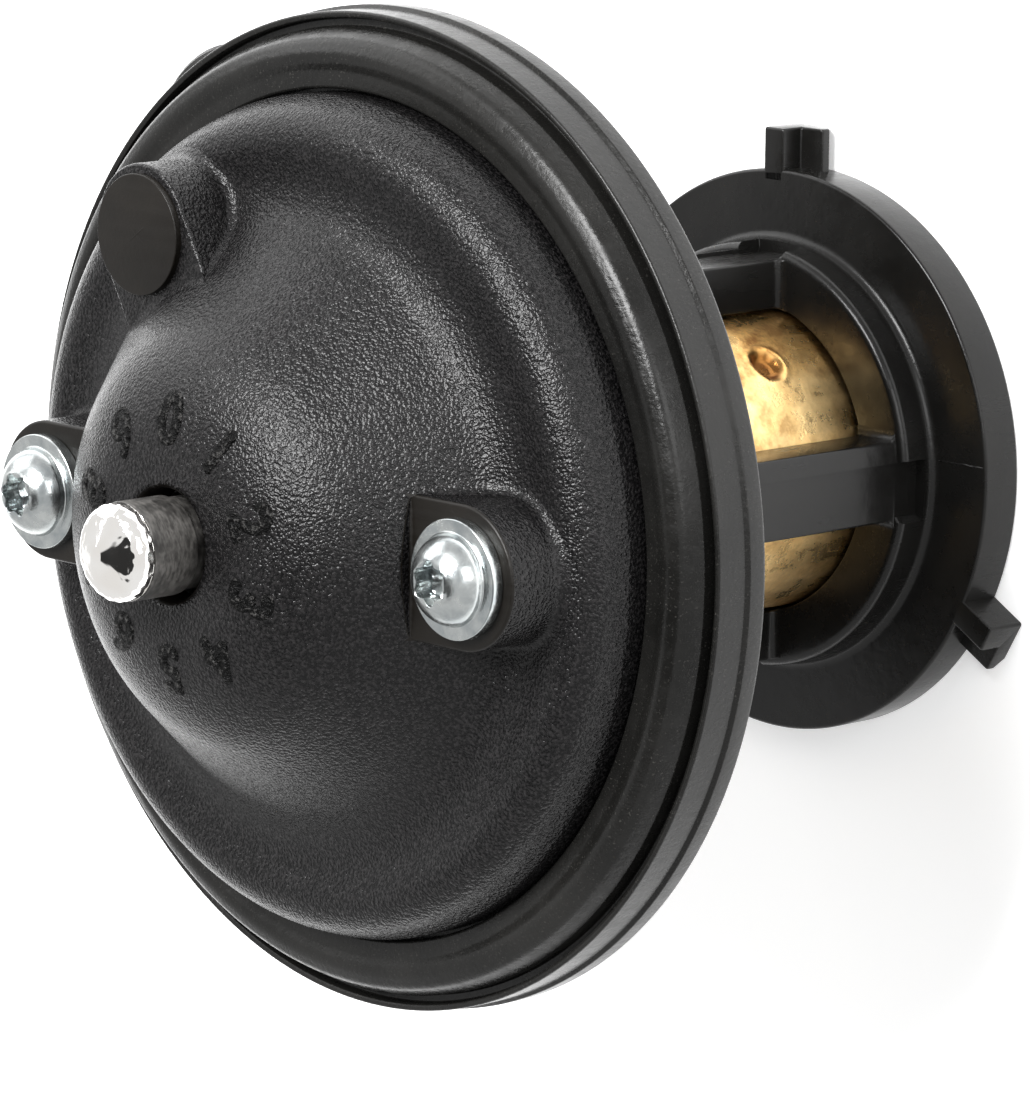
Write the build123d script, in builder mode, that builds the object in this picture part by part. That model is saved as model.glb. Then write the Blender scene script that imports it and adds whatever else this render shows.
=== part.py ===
from build123d import *
from math import cos, pi, radians, sin
import os

os.makedirs("parts", exist_ok=True)

# Engine thermostat: a wax capsule sits in a windowed cage behind a domed front cover.
# The cover clamps a rubber valve ring to the cage, and a sprung piston stands out of the cover.
# +Z is the valve's axis, from the bayonet flange to the piston's nose. z = 0 is the flange's rear face.

# Fits between pieces
running_gap = 0.05  # radial, between the piston's shank and what guides it
slip_gap = 0.1  # radial, between pieces that are only pushed together
loose_gap = 0.3  # where nothing guides
overcut = 1.0  # how far a cutting shape runs past what it cuts

# Bayonet flange
flange_radius = 25.6
flange_thickness = 4.2
flange_edge = 0.35
lug_count = 3
lug_angle = 90.0
lug_reach = 3.7
lug_full_width = 2.45
lug_low_width = 2.65
lug_low_thickness = 1.9
lug_ramp = 1.0

# Cage tube, with windows between its posts
tube_wall = 4.2
bore_gap = 0.5  # round the capsule
rear_lip_reach = 2.0
rear_lip_thickness = 1.6
collar_step = 0.7
collar_height = 3.8
collar_round = 0.5
post_count = 4
post_width = 7.2
post_flat_height = 5.3
post_flat_depth = 0.4
post_flat_shift = 1.7
window_length = 24.0
window_round = 0.8

# Cage hub and front plate
hub_wall = 3.6
hub_skirt = 1.2
pocket_gap = 0.5  # round the capsule's crimp
pocket_step = 0.8
plate_rear = 49.6
plate_thickness = 3.2
plate_reach = 2.6  # past the cover's rim
plate_edge = 0.4

# Front cover: a bell with a crowned top, a sloping side, a valley and a rounded shelf
cover_wall = 2.6
rim_radius = 36.2
rim_height = 3.4
shelf_height = 4.6
bell_height = 22.0
bell_top_radius = 13.8
shelf_width = 7.7
rim_slope = 1.6
crown_round = 14.5
valley_round = 6.0
shelf_round = 3.6
rim_round = 0.8
shelf_rise = 1.2
nose_hole_radius = 4.8
nose_hole_edge = 0.3

# Cover screws and the pads under their heads
screw_radius = 2.5
screw_inset = 9.6  # from the cover's rim
screw_length = 20.0
screw_flange_radius = 5.0
screw_flange_thickness = 1.1
screw_flange_edge = 0.15
screw_head_radius = 3.9
screw_head_height = 2.6
screw_head_bulge = (3.15, 1.6)  # a point on the head's round: out from its axis, up from its flange
screw_hole_spare = 0.5
drive_radius = 1.4
drive_lobe_radius = 0.45
drive_depth = 1.9
pad_half_width = 6.1
pad_inner_reach = 6.1
pad_height = 67.7
pad_round = 0.5
cage_boss_radius = 5.0
cage_boss_height = 3.2
cage_boss_depth = 6.0

# Gate boss, where the cover was filled in the mould
gate_angle = 120.0
gate_inner_reach = 7.1
gate_inset = 8.4  # from the cover's rim
gate_boss_radius = 5.75
gate_disc_radius = 5.35
gate_disc_height = 0.6

# Rubber valve ring
ring_web_thickness = 1.8
ring_web_reach = 3.0
bead_rise = 2.5
bead_edge_rise = 0.2
bead_dish = 0.3
bead_step = 0.5
bead_valley_drop = 0.45
bead_shoulder_drop = 0.75
bead_valley_share = 0.3  # shares of the bead's width, from its root
bead_inside_share = 0.4
bead_crown_share = 0.5
bead_shoulder_share = 0.8
ring_groove_width = 0.8
ring_groove_depth = 1.4
lip_wall = 4.4
lip_crest = 0.95
lip_step = 0.35
lip_step_height = 1.9
lip_overhang = 0.2
lip_edge = 0.4
tab_angle = 127.0
tab_radius = 12.0
tab_reach = 1.8
tab_thickness = 2.2

# Wax capsule and what it holds
capsule_radius = 13.9
capsule_wall = 0.8
capsule_round = 1.6
crimp_reach = 2.6
crimp_lip = 2.9
gasket_thickness = 1.0
diaphragm_thickness = 1.2
guide_flange_thickness = 2.2
guide_neck_radius = 7.6
guide_top = 51.4
guide_edge = 0.8
plug_radius = 4.6
plug_taper = 1.3
plug_nose = 0.5
disc_thickness = 0.8
seal_groove_radius = 4.8
seal_groove_width = 1.8
seal_groove_drop = 1.6
snap_ring_width = 2.6
snap_ring_thickness = 1.2
snap_ring_bite = 0.8
snap_ring_gap = 9.0
snap_ring_eye_radius = 1.7
snap_ring_eye_turn = 4.0

# Piston, its sleeve and the return spring
piston_radius = 2.6
sleeve_radius = 4.2
sleeve_neck_radius = 3.95
nose_radius = 4.17
nose_land = 1.55
nose_round = 1.5
nose_height = 1.35
nose_tip_radius = 0.6
sleeve_stand = 4.6  # how far the sleeve stands out of the cover
clip_radius = 4.9
clip_thickness = 0.9
clip_groove_radius = 2.1
clip_gap = 2.6
sleeve_flange_radius = 6.6
sleeve_flange_thickness = 1.7
seat_thickness = 1.0
seat_rim_height = 1.2
spring_radius = 8.0
spring_wire = 1.6
spring_turns = 4.5
spring_washer_thickness = 0.8
spring_boss_depth = 0.9
travel = 8.0

# Radii that follow from the sizes above
bore_radius = capsule_radius + bore_gap
rear_hole_radius = bore_radius - rear_lip_reach
tube_radius = bore_radius + tube_wall
collar_radius = tube_radius + collar_step
crimp_radius = capsule_radius + crimp_reach
crimp_inner_radius = crimp_radius - crimp_lip
pocket_radius = crimp_radius + pocket_gap
snap_ring_inner_radius = pocket_radius - snap_ring_width
hub_radius = pocket_radius + hub_wall
plate_radius = rim_radius + plate_reach
shelf_radius = rim_radius - rim_slope
bell_foot_radius = shelf_radius - shelf_width
screw_circle_radius = rim_radius - screw_inset
pad_inner_edge = screw_circle_radius - pad_inner_reach
gate_circle_radius = rim_radius - gate_inset
seat_radius = spring_radius + spring_wire / 2 + slip_gap + seat_thickness

# Heights that follow from the sizes above
collar_top = flange_thickness + collar_height
window_top = collar_top + window_length
plate_front = plate_rear + plate_thickness
rim_foot = plate_front + ring_web_thickness
rim_top = rim_foot + rim_height
cover_top = rim_foot + bell_height
shelf_top = rim_top + shelf_height
boss_joint = plate_front + cage_boss_height
pocket_floor = window_top + pocket_step
gasket_top = pocket_floor + gasket_thickness
diaphragm_bottom = gasket_top + capsule_wall
guide_bottom = diaphragm_bottom + diaphragm_thickness
guide_flange_top = guide_bottom + guide_flange_thickness
crimp_top = guide_flange_top + capsule_wall
seal_top = guide_top - seal_groove_drop
seal_bottom = seal_top - seal_groove_width
piston_bottom = seal_bottom - travel
plug_top = piston_bottom - disc_thickness
taper_end = plug_top - plug_nose
taper_start = taper_end - plug_taper
clip_bottom = guide_top + loose_gap
sleeve_bottom = clip_bottom + clip_thickness
seat_bottom = sleeve_bottom + sleeve_flange_thickness
cover_inside = cover_top - cover_wall
washer_top = cover_inside - spring_boss_depth
washer_bottom = washer_top - spring_washer_thickness
spring_bottom = seat_bottom + seat_thickness
head_bottom = cover_top + sleeve_stand
nose_base = head_bottom + nose_land
nose_tip = nose_base + nose_height

screw_hole_depth = screw_length - (pad_height - boss_joint) + screw_hole_spare
guide_bore = piston_radius + running_gap
screw_places = {"left": -screw_circle_radius, "right": screw_circle_radius}
screw_centres = [(x, 0) for x in screw_places.values()]


def tangent_plane(angle, distance):
    """A plane that faces outwards at the angle: its x runs anticlockwise, its y is +Z."""
    turn = radians(angle)
    outwards = Vector(cos(turn), sin(turn), 0)
    return Plane(origin=outwards * distance, x_dir=(-sin(turn), cos(turn), 0), z_dir=outwards)


def rims(body, radius, height=None):
    """The body's circular edges of this radius, at this height or at any."""
    circles = body.edges().filter_by(GeomType.CIRCLE)
    circles = circles.filter_by(lambda edge: abs(edge.radius - radius) < 0.01)
    if height is None:
        return circles
    return circles.filter_by(lambda edge: abs(edge.center().Z - height) < 0.01)


# Cage: flange, collar, tube, hub and plate are one moulding
with BuildPart() as cage:
    with BuildSketch(Plane.XZ):
        with BuildLine():
            Polyline(
                (rear_hole_radius, 0),
                (flange_radius, 0),
                (flange_radius, flange_thickness),
                (collar_radius, flange_thickness),
                (collar_radius, collar_top),
                (tube_radius, collar_top),
                (tube_radius, window_top + hub_skirt),
                (hub_radius, window_top + hub_skirt + hub_radius - tube_radius),
                (hub_radius, plate_rear),
                (plate_radius, plate_rear),
                (plate_radius, plate_front),
                (pocket_radius, plate_front),
                (pocket_radius, pocket_floor),
                (bore_radius, pocket_floor),
                (bore_radius, rear_lip_thickness),
                (rear_hole_radius, rear_lip_thickness),
                close=True,
            )
        make_face()
    revolve(axis=Axis.Z)

    chamfer(rims(cage, flange_radius), length=flange_edge)
    chamfer(rims(cage, plate_radius), length=plate_edge)
    fillet(rims(cage, collar_radius, collar_top), radius=collar_round)

    # Windows: the tube's wall goes, but for the posts
    with BuildSketch(Plane.XY.offset(collar_top)):
        Circle(tube_radius + overcut)
        with PolarLocations(0, post_count):
            Rectangle(
                tube_radius + 2 * overcut,
                post_width,
                align=(Align.MIN, Align.CENTER),
                mode=Mode.SUBTRACT,
            )
    extrude(amount=window_length, mode=Mode.SUBTRACT)
    corners = cage.edges(Select.LAST).filter_by(GeomType.LINE).filter_by(Plane.XY)
    fillet(corners.group_by(Axis.Z)[0], radius=window_round)

    # A flat on each post runs down through the collar
    with BuildSketch(Plane.XY.offset(post_flat_height)):
        with PolarLocations(0, post_count):
            with Locations((tube_radius - post_flat_depth, -post_width / 2)):
                Rectangle(collar_radius, post_width / 2 + post_flat_shift, align=Align.MIN)
    extrude(amount=window_top - window_round - post_flat_height, mode=Mode.SUBTRACT)

    # Bayonet lugs: full height on one side, low and ramped on the other
    for number in range(lug_count):
        angle = lug_angle + number * 360 / lug_count
        with BuildSketch(tangent_plane(angle, flange_radius - overcut)):
            with BuildLine():
                Polyline(
                    (lug_ramp - lug_low_width, 0),
                    (lug_full_width, 0),
                    (lug_full_width, flange_thickness),
                    (0, flange_thickness),
                    (0, lug_low_thickness),
                    (-lug_low_width, lug_low_thickness),
                    (-lug_low_width, lug_ramp),
                    close=True,
                )
            make_face()
        extrude(amount=lug_reach + overcut)

    # Screw bosses through the plate
    with BuildSketch(Plane.XY.offset(plate_rear - cage_boss_depth)):
        with Locations(*screw_centres):
            Circle(cage_boss_radius)
    extrude(amount=cage_boss_depth + plate_thickness + cage_boss_height)
    with BuildSketch(Plane.XY.offset(boss_joint)):
        with Locations(*screw_centres):
            Circle(screw_radius + running_gap)
    extrude(amount=-screw_hole_depth, mode=Mode.SUBTRACT)

    # Groove for the snap ring that holds the capsule down
    with BuildSketch(Plane.XY.offset(crimp_top)):
        Circle(pocket_radius + snap_ring_bite)
    extrude(amount=snap_ring_thickness + 2 * running_gap, mode=Mode.SUBTRACT)
cage.part.label = "cage"
export_step(cage.part, "parts/cage.step")

# Front cover: one moulded shell, with a pad and a column under each screw
with BuildPart() as front_cover:
    with BuildSketch(Plane.XZ):
        with BuildLine():
            outside = FilletPolyline(
                (nose_hole_radius - nose_hole_edge, cover_top),
                (bell_top_radius, cover_top),
                (bell_foot_radius, shelf_top - shelf_rise),
                (shelf_radius, shelf_top),
                (rim_radius, rim_top),
                (rim_radius, rim_foot),
                radius=[crown_round, valley_round, shelf_round, rim_round],
            )
            offset(outside, amount=cover_wall, side=Side.RIGHT)
        make_face()
        # Flat seat for the spring, inside the crown
        with Locations((0, washer_top)):
            Rectangle(seat_radius, spring_boss_depth + cover_wall / 2, align=Align.MIN)
        Rectangle(2 * nose_hole_radius, 2 * cover_top, mode=Mode.SUBTRACT)
    revolve(axis=Axis.Z)

    # Screw columns and their flat pads, straight on the inner side and round on the outer
    pad_shoulder = pad_height - pad_round
    for start, height, taper, mode in (
        (pad_height, bell_height, 0, Mode.SUBTRACT),
        (boss_joint, pad_shoulder - boss_joint, 0, Mode.ADD),
        (pad_shoulder, pad_round, 45, Mode.ADD),
    ):
        with BuildSketch(Plane.XY.offset(start)):
            for x in screw_places.values():
                pad_middle = x * (1 + pad_inner_edge / screw_circle_radius) / 2
                with Locations((x, 0)):
                    Circle(pad_half_width)
                with Locations((pad_middle, 0)):
                    Rectangle(pad_inner_reach, 2 * pad_half_width)
        extrude(amount=height, taper=taper, mode=mode)

    # Gate boss: the same form, smaller, with a raised disc on it
    gate_foot = shelf_top - shelf_rise
    for start, height, taper in (
        (gate_foot, pad_shoulder - gate_foot, 0),
        (pad_shoulder, pad_round, 45),
    ):
        with BuildSketch(Plane.XY.offset(start)):
            with PolarLocations(gate_circle_radius, 1, start_angle=gate_angle):
                Circle(gate_boss_radius)
                with Locations((-gate_inner_reach / 2, 0)):
                    Rectangle(gate_inner_reach, 2 * gate_boss_radius)
        extrude(amount=height, taper=taper)
    with BuildSketch(Plane.XY.offset(pad_height)):
        with PolarLocations(gate_circle_radius, 1, start_angle=gate_angle):
            Circle(gate_disc_radius)
    extrude(amount=gate_disc_height)

    # Holes for the screws
    with BuildSketch(Plane.XY.offset(boss_joint)):
        with Locations(*screw_centres):
            Circle(screw_radius + loose_gap)
    extrude(amount=pad_height, mode=Mode.SUBTRACT)
    chamfer(rims(front_cover, nose_hole_radius).sort_by(Axis.Z)[-1], length=nose_hole_edge)
front_cover.part.label = "front_cover"
export_step(front_cover.part, "parts/front_cover.step")

# Valve ring: a web under the cover's rim, a bead that seals, and a lip round the plate's edge
plate_slot_radius = plate_radius + slip_gap
lip_radius = plate_slot_radius + lip_wall
lip_rear = plate_rear - lip_overhang
groove_outside = lip_radius - lip_crest
bead_radius = groove_outside - ring_groove_width
bead_edge_height = rim_foot + bead_edge_rise
bead_height = rim_foot + bead_rise
bead_root = rim_radius + loose_gap
bead_width = bead_radius - bead_root
with BuildPart() as seal_ring:
    with BuildSketch(Plane.XZ):
        with BuildLine():
            bead_start = (bead_root, bead_height - bead_step)
            bead_valley = (bead_root + bead_width * bead_valley_share, bead_height - bead_valley_drop)
            bead_inside = (bead_root + bead_width * bead_inside_share, bead_height - bead_dish)
            bead_crown = (bead_root + bead_width * bead_crown_share, bead_height)
            bead_shoulder = (bead_root + bead_width * bead_shoulder_share, bead_height - bead_shoulder_drop)
            bead_end = (bead_radius, bead_edge_height)
            Polyline(
                bead_start,
                (bead_root, rim_foot),
                (rim_radius - ring_web_reach, rim_foot),
                (rim_radius - ring_web_reach, plate_front),
                (plate_slot_radius, plate_front),
                (plate_slot_radius, lip_rear + lip_edge),
                (plate_slot_radius + lip_edge, lip_rear),
                (lip_radius - lip_edge, lip_rear),
                (lip_radius, lip_rear + lip_edge),
                (lip_radius, lip_rear + lip_step_height),
                (lip_radius - lip_step, lip_rear + lip_step_height + lip_step),
                (groove_outside + lip_edge, bead_edge_height - lip_edge / 2),
                (groove_outside, bead_edge_height - lip_edge),
                (groove_outside, bead_edge_height - ring_groove_depth),
                (bead_radius, bead_edge_height - ring_groove_depth),
                bead_end,
            )
            ThreePointArc(bead_end, bead_shoulder, bead_crown)
            ThreePointArc(bead_crown, bead_inside, bead_valley)
            Line(bead_valley, bead_start)
        make_face()
    revolve(axis=Axis.Z)

    # Moulded tab on the lip
    tab_middle = lip_radius + tab_reach - tab_radius
    with BuildSketch(Plane.XY.offset(lip_rear)):
        with PolarLocations(tab_middle, 1, start_angle=tab_angle):
            Circle(tab_radius)
        Circle(groove_outside, mode=Mode.SUBTRACT)
    extrude(amount=tab_thickness)
seal_ring.part.label = "seal_ring"
export_step(seal_ring.part, "parts/seal_ring.step")

# Cover screws: flanged button heads with a six-lobe drive
for side, x in screw_places.items():
    with BuildPart() as cover_screw:
        with BuildSketch(Plane.XY.offset(pad_height - screw_length)):
            with Locations((x, 0)):
                Circle(screw_radius)
        extrude(amount=screw_length)
        chamfer(cover_screw.edges().sort_by(Axis.Z)[0], length=screw_radius / 3)
        with BuildSketch(Plane.XY.offset(pad_height)):
            with Locations((x, 0)):
                Circle(screw_flange_radius)
        extrude(amount=screw_flange_thickness)
        chamfer(rims(cover_screw, screw_flange_radius).sort_by(Axis.Z)[-1], length=screw_flange_edge)
        head_seat = pad_height + screw_flange_thickness
        head_top = head_seat + screw_head_height
        with BuildSketch(Plane(origin=(x, 0, 0), x_dir=(1, 0, 0), z_dir=(0, -1, 0))):
            with BuildLine():
                Polyline((drive_radius, head_top), (0, head_top), (0, head_seat), (screw_head_radius, head_seat))
                head_bulge = (screw_head_bulge[0], head_seat + screw_head_bulge[1])
                ThreePointArc((screw_head_radius, head_seat), head_bulge, (drive_radius, head_top))
            make_face()
        revolve(axis=Axis((x, 0, 0), (0, 0, 1)))
        with BuildSketch(Plane.XY.offset(head_top)):
            with Locations((x, 0)):
                Circle(drive_radius)
                with PolarLocations(drive_radius, 6):
                    Circle(drive_lobe_radius)
        extrude(amount=-drive_depth, mode=Mode.SUBTRACT)
    cover_screw.part.label = f"cover_screw_{side}"
    export_step(cover_screw.part, f"parts/cover_screw_{side}.step")

# Wax capsule: a drawn brass cup, its mouth crimped over the guide's flange
with BuildPart() as wax_capsule:
    with BuildSketch(Plane.XZ):
        with BuildLine():
            Polyline(
                (0, rear_lip_thickness),
                (capsule_radius, rear_lip_thickness),
                (capsule_radius, gasket_top),
                (crimp_radius, gasket_top),
                (crimp_radius, crimp_top),
                (crimp_inner_radius, crimp_top),
                (crimp_inner_radius, guide_flange_top),
                (crimp_radius - capsule_wall, guide_flange_top),
                (crimp_radius - capsule_wall, diaphragm_bottom),
                (capsule_radius - capsule_wall, diaphragm_bottom),
                (capsule_radius - capsule_wall, rear_lip_thickness + capsule_wall),
                (0, rear_lip_thickness + capsule_wall),
                close=True,
            )
        make_face()
    revolve(axis=Axis.Z)
    fillet(rims(wax_capsule, capsule_radius, rear_lip_thickness), radius=capsule_round)
    fillet(rims(wax_capsule, crimp_radius, crimp_top), radius=capsule_wall)
wax_capsule.part.label = "wax_capsule"
export_step(wax_capsule.part, "parts/wax_capsule.step")

with BuildPart() as wax_charge:
    with BuildSketch(Plane.XY.offset(rear_lip_thickness + capsule_wall)):
        Circle(capsule_radius - capsule_wall - slip_gap)
    extrude(amount=diaphragm_bottom - rear_lip_thickness - capsule_wall)
wax_charge.part.label = "wax_charge"
export_step(wax_charge.part, "parts/wax_charge.step")

with BuildPart() as capsule_gasket:
    with BuildSketch(Plane.XY.offset(pocket_floor)):
        Circle(pocket_radius - slip_gap)
        Circle(bore_radius, mode=Mode.SUBTRACT)
    extrude(amount=gasket_thickness)
capsule_gasket.part.label = "capsule_gasket"
export_step(capsule_gasket.part, "parts/capsule_gasket.step")

with BuildPart() as diaphragm:
    with BuildSketch(Plane.XY.offset(diaphragm_bottom)):
        Circle(crimp_radius - capsule_wall - slip_gap)
    extrude(amount=diaphragm_thickness)
diaphragm.part.label = "diaphragm"
export_step(diaphragm.part, "parts/diaphragm.step")

# Piston guide: the plug is squeezed up its bore and drives the piston
plug_bore = plug_radius + slip_gap
with BuildPart() as piston_guide:
    with BuildSketch(Plane.XZ):
        with BuildLine():
            Polyline(
                (plug_bore, guide_bottom),
                (crimp_radius - capsule_wall - slip_gap, guide_bottom),
                (crimp_radius - capsule_wall - slip_gap, guide_flange_top),
                (guide_neck_radius, guide_flange_top),
                (guide_neck_radius, guide_top),
                (guide_bore, guide_top),
                (guide_bore, seal_top),
                (seal_groove_radius, seal_top),
                (seal_groove_radius, seal_bottom),
                (guide_bore, seal_bottom),
                (guide_bore, taper_end),
                (plug_bore, taper_start),
                close=True,
            )
        make_face()
    revolve(axis=Axis.Z)
    chamfer(rims(piston_guide, guide_neck_radius, guide_top), length=guide_edge)
piston_guide.part.label = "piston_guide"
export_step(piston_guide.part, "parts/piston_guide.step")

with BuildPart() as elastomer_plug:
    with BuildSketch(Plane.XZ):
        with BuildLine():
            Polyline(
                (0, guide_bottom),
                (plug_radius, guide_bottom),
                (plug_radius, taper_start),
                (piston_radius, taper_end),
                (piston_radius, plug_top),
                (0, plug_top),
                close=True,
            )
        make_face()
    revolve(axis=Axis.Z)
elastomer_plug.part.label = "elastomer_plug"
export_step(elastomer_plug.part, "parts/elastomer_plug.step")

with BuildPart() as backup_disc:
    with BuildSketch(Plane.XY.offset(plug_top)):
        Circle(piston_radius)
    extrude(amount=disc_thickness)
backup_disc.part.label = "backup_disc"
export_step(backup_disc.part, "parts/backup_disc.step")

with BuildPart() as piston_seal:
    with BuildSketch(Plane.XY.offset(seal_bottom)):
        Circle(seal_groove_radius - running_gap)
        Circle(guide_bore, mode=Mode.SUBTRACT)
    extrude(amount=seal_groove_width)
    fillet(piston_seal.edges().filter_by(GeomType.CIRCLE), radius=seal_groove_width / 5)
piston_seal.part.label = "piston_seal"
export_step(piston_seal.part, "parts/piston_seal.step")

# Snap ring: sprung into the cage's groove, with an eye at each end
with BuildPart() as snap_ring:
    snap_ring_outer_radius = pocket_radius + snap_ring_bite - slip_gap
    eye_angle = snap_ring_gap / snap_ring_outer_radius * 90 / pi
    with BuildSketch(Plane.XY.offset(crimp_top)):
        Circle(snap_ring_outer_radius)
        Circle(snap_ring_inner_radius, mode=Mode.SUBTRACT)
        with Locations((snap_ring_outer_radius, 0)):
            Rectangle(2 * snap_ring_outer_radius, snap_ring_gap, mode=Mode.SUBTRACT)
        for turn in (-1, 1):
            with PolarLocations(snap_ring_inner_radius, 1, start_angle=turn * (eye_angle + snap_ring_eye_turn)):
                Circle(snap_ring_eye_radius)
                Circle(snap_ring_eye_radius / 2, mode=Mode.SUBTRACT)
    extrude(amount=snap_ring_thickness)
snap_ring.part.label = "snap_ring"
export_step(snap_ring.part, "parts/snap_ring.step")

# Piston: a steel pin with a groove for its clip and a polished conical nose
with BuildPart() as piston:
    with BuildSketch(Plane.XZ):
        with BuildLine():
            Polyline(
                (0, nose_tip),
                (0, piston_bottom),
                (piston_radius, piston_bottom),
                (piston_radius, clip_bottom),
                (clip_groove_radius, clip_bottom),
                (clip_groove_radius, sleeve_bottom),
                (piston_radius, sleeve_bottom),
                (piston_radius, head_bottom),
                (nose_radius, head_bottom),
                (nose_radius, nose_base),
                (nose_tip_radius, nose_tip),
                close=True,
            )
        make_face()
    revolve(axis=Axis.Z)
    fillet(rims(piston, nose_tip_radius, nose_tip), radius=nose_tip_radius)
    fillet(rims(piston, nose_radius, nose_base), radius=nose_round)
    chamfer(rims(piston, piston_radius, piston_bottom), length=running_gap * 4)
piston.part.label = "piston"
export_step(piston.part, "parts/piston.step")

# Sleeve: flanged under the spring seat, and full only where it stands out of the cover
with BuildPart() as piston_sleeve:
    with BuildSketch(Plane.XZ):
        with BuildLine():
            Polyline(
                (guide_bore, sleeve_bottom),
                (sleeve_flange_radius, sleeve_bottom),
                (sleeve_flange_radius, seat_bottom),
                (sleeve_neck_radius, seat_bottom),
                (sleeve_neck_radius, cover_top),
                (sleeve_radius, cover_top),
                (sleeve_radius, head_bottom),
                (guide_bore, head_bottom),
                close=True,
            )
        make_face()
    revolve(axis=Axis.Z)
piston_sleeve.part.label = "piston_sleeve"
export_step(piston_sleeve.part, "parts/piston_sleeve.step")

with BuildPart() as piston_clip:
    with BuildSketch(Plane.XY.offset(clip_bottom)):
        Circle(clip_radius)
        Circle(clip_groove_radius + running_gap, mode=Mode.SUBTRACT)
        with Locations((clip_radius, 0)):
            Rectangle(2 * clip_radius, clip_gap, mode=Mode.SUBTRACT)
    extrude(amount=clip_thickness)
piston_clip.part.label = "piston_clip"
export_step(piston_clip.part, "parts/piston_clip.step")

# Spring seat: a pressed cup that the sleeve's flange carries
with BuildPart() as spring_seat:
    with BuildSketch(Plane.XY.offset(seat_bottom)):
        Circle(seat_radius)
    extrude(amount=seat_thickness + seat_rim_height)
    with BuildSketch(Plane.XY.offset(spring_bottom)):
        Circle(seat_radius - seat_thickness)
    extrude(amount=seat_rim_height, mode=Mode.SUBTRACT)
    with BuildSketch(Plane.XY.offset(seat_bottom)):
        Circle(sleeve_radius + slip_gap)
    extrude(amount=seat_thickness, mode=Mode.SUBTRACT)
    fillet(rims(spring_seat, seat_radius, seat_bottom), radius=seat_thickness / 2)
spring_seat.part.label = "spring_seat"
export_step(spring_seat.part, "parts/spring_seat.step")

with BuildPart() as spring_washer:
    with BuildSketch(Plane.XY.offset(washer_bottom)):
        Circle(seat_radius)
        Circle(nose_hole_radius, mode=Mode.SUBTRACT)
    extrude(amount=spring_washer_thickness)
spring_washer.part.label = "spring_washer"
export_step(spring_washer.part, "parts/spring_washer.step")

with BuildPart() as return_spring:
    spring_length = washer_bottom - spring_bottom - spring_wire
    with BuildLine():
        coil = Helix(
            pitch=spring_length / spring_turns,
            height=spring_length,
            radius=spring_radius,
            center=(0, 0, spring_bottom + spring_wire / 2),
        )
    with BuildSketch(Plane(origin=coil @ 0, z_dir=coil % 0)):
        Circle(spring_wire / 2)
    sweep(is_frenet=True)
return_spring.part.label = "return_spring"
export_step(return_spring.part, "parts/return_spring.step")
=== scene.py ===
from math import asin, atan2, cos, hypot, pi, radians, sin, sqrt, tau

import bmesh
import bpy
from mathutils import Matrix, Vector, geometry, noise


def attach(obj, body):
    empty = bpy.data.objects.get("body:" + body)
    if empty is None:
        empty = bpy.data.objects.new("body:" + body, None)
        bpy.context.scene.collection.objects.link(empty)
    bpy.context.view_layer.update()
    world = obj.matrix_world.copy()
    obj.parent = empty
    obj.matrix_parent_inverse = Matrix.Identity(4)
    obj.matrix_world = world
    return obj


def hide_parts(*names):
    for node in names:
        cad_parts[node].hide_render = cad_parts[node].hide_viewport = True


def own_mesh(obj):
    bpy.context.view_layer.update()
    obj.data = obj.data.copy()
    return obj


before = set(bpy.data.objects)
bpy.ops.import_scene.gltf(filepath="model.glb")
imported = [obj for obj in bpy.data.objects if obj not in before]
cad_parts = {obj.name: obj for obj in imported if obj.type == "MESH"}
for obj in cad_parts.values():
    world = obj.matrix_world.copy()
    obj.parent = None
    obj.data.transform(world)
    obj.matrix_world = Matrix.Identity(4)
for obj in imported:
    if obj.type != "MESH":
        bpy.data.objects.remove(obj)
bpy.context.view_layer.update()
mm = 0.001
housing = "housing"
plunger = "plunger"


# small helpers for node trees, shader and geometry alike
def put(tree, kind, wires=None, **settings):
    node = tree.nodes.new(kind)
    for key, value in settings.items():
        setattr(node, key, value)
    for key, value in (wires or {}).items():
        if isinstance(value, bpy.types.NodeSocket):
            tree.links.new(value, node.inputs[key])
        else:
            node.inputs[key].default_value = value
    return node


def result(tree, kind, wires=None, **settings):
    return put(tree, kind, wires, **settings).outputs[0]


def calc(tree, operation, *values):
    return result(tree, "ShaderNodeMath", dict(enumerate(values)), operation=operation)


def grain(tree, scale, detail=2.0, roughness=0.5, offset=(0, 0, 0), stretch=(1, 1, 1), turn=(0, 0, 0)):
    where = put(tree, "ShaderNodeTexCoord").outputs["Object"]
    wires = {"Vector": where, "Location": offset, "Scale": stretch, "Rotation": turn}
    moved = result(tree, "ShaderNodeMapping", wires)
    wires = {"Vector": moved, "Scale": scale, "Detail": detail, "Roughness": roughness}
    return put(tree, "ShaderNodeTexNoise", wires).outputs["Fac"]


def spread(tree, value, low, high, start=0.3, end=0.7):
    wires = {"Value": value, "From Min": start, "From Max": end, "To Min": low, "To Max": high}
    return put(tree, "ShaderNodeMapRange", wires).outputs["Result"]


def blendColour(tree, amount, first, second):
    wires = {0: amount, 6: first, 7: second}
    wires = {key: (*value, 1) if isinstance(value, tuple) else value for key, value in wires.items()}
    return put(tree, "ShaderNodeMix", wires, data_type="RGBA").outputs[2]


def tinted(tree, pattern, first, second, start=0.3, end=0.7):
    return blendColour(tree, spread(tree, pattern, 0, 1, start, end), first, second)


def bump(tree, *heights):  # each is a height and how deep it goes, in millimetres
    normal = None
    for height, distance in heights:
        wires = {"Height": height, "Strength": 1.0, "Distance": distance * mm}
        if normal:
            wires["Normal"] = normal
        normal = result(tree, "ShaderNodeBump", wires)
    return normal


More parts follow.
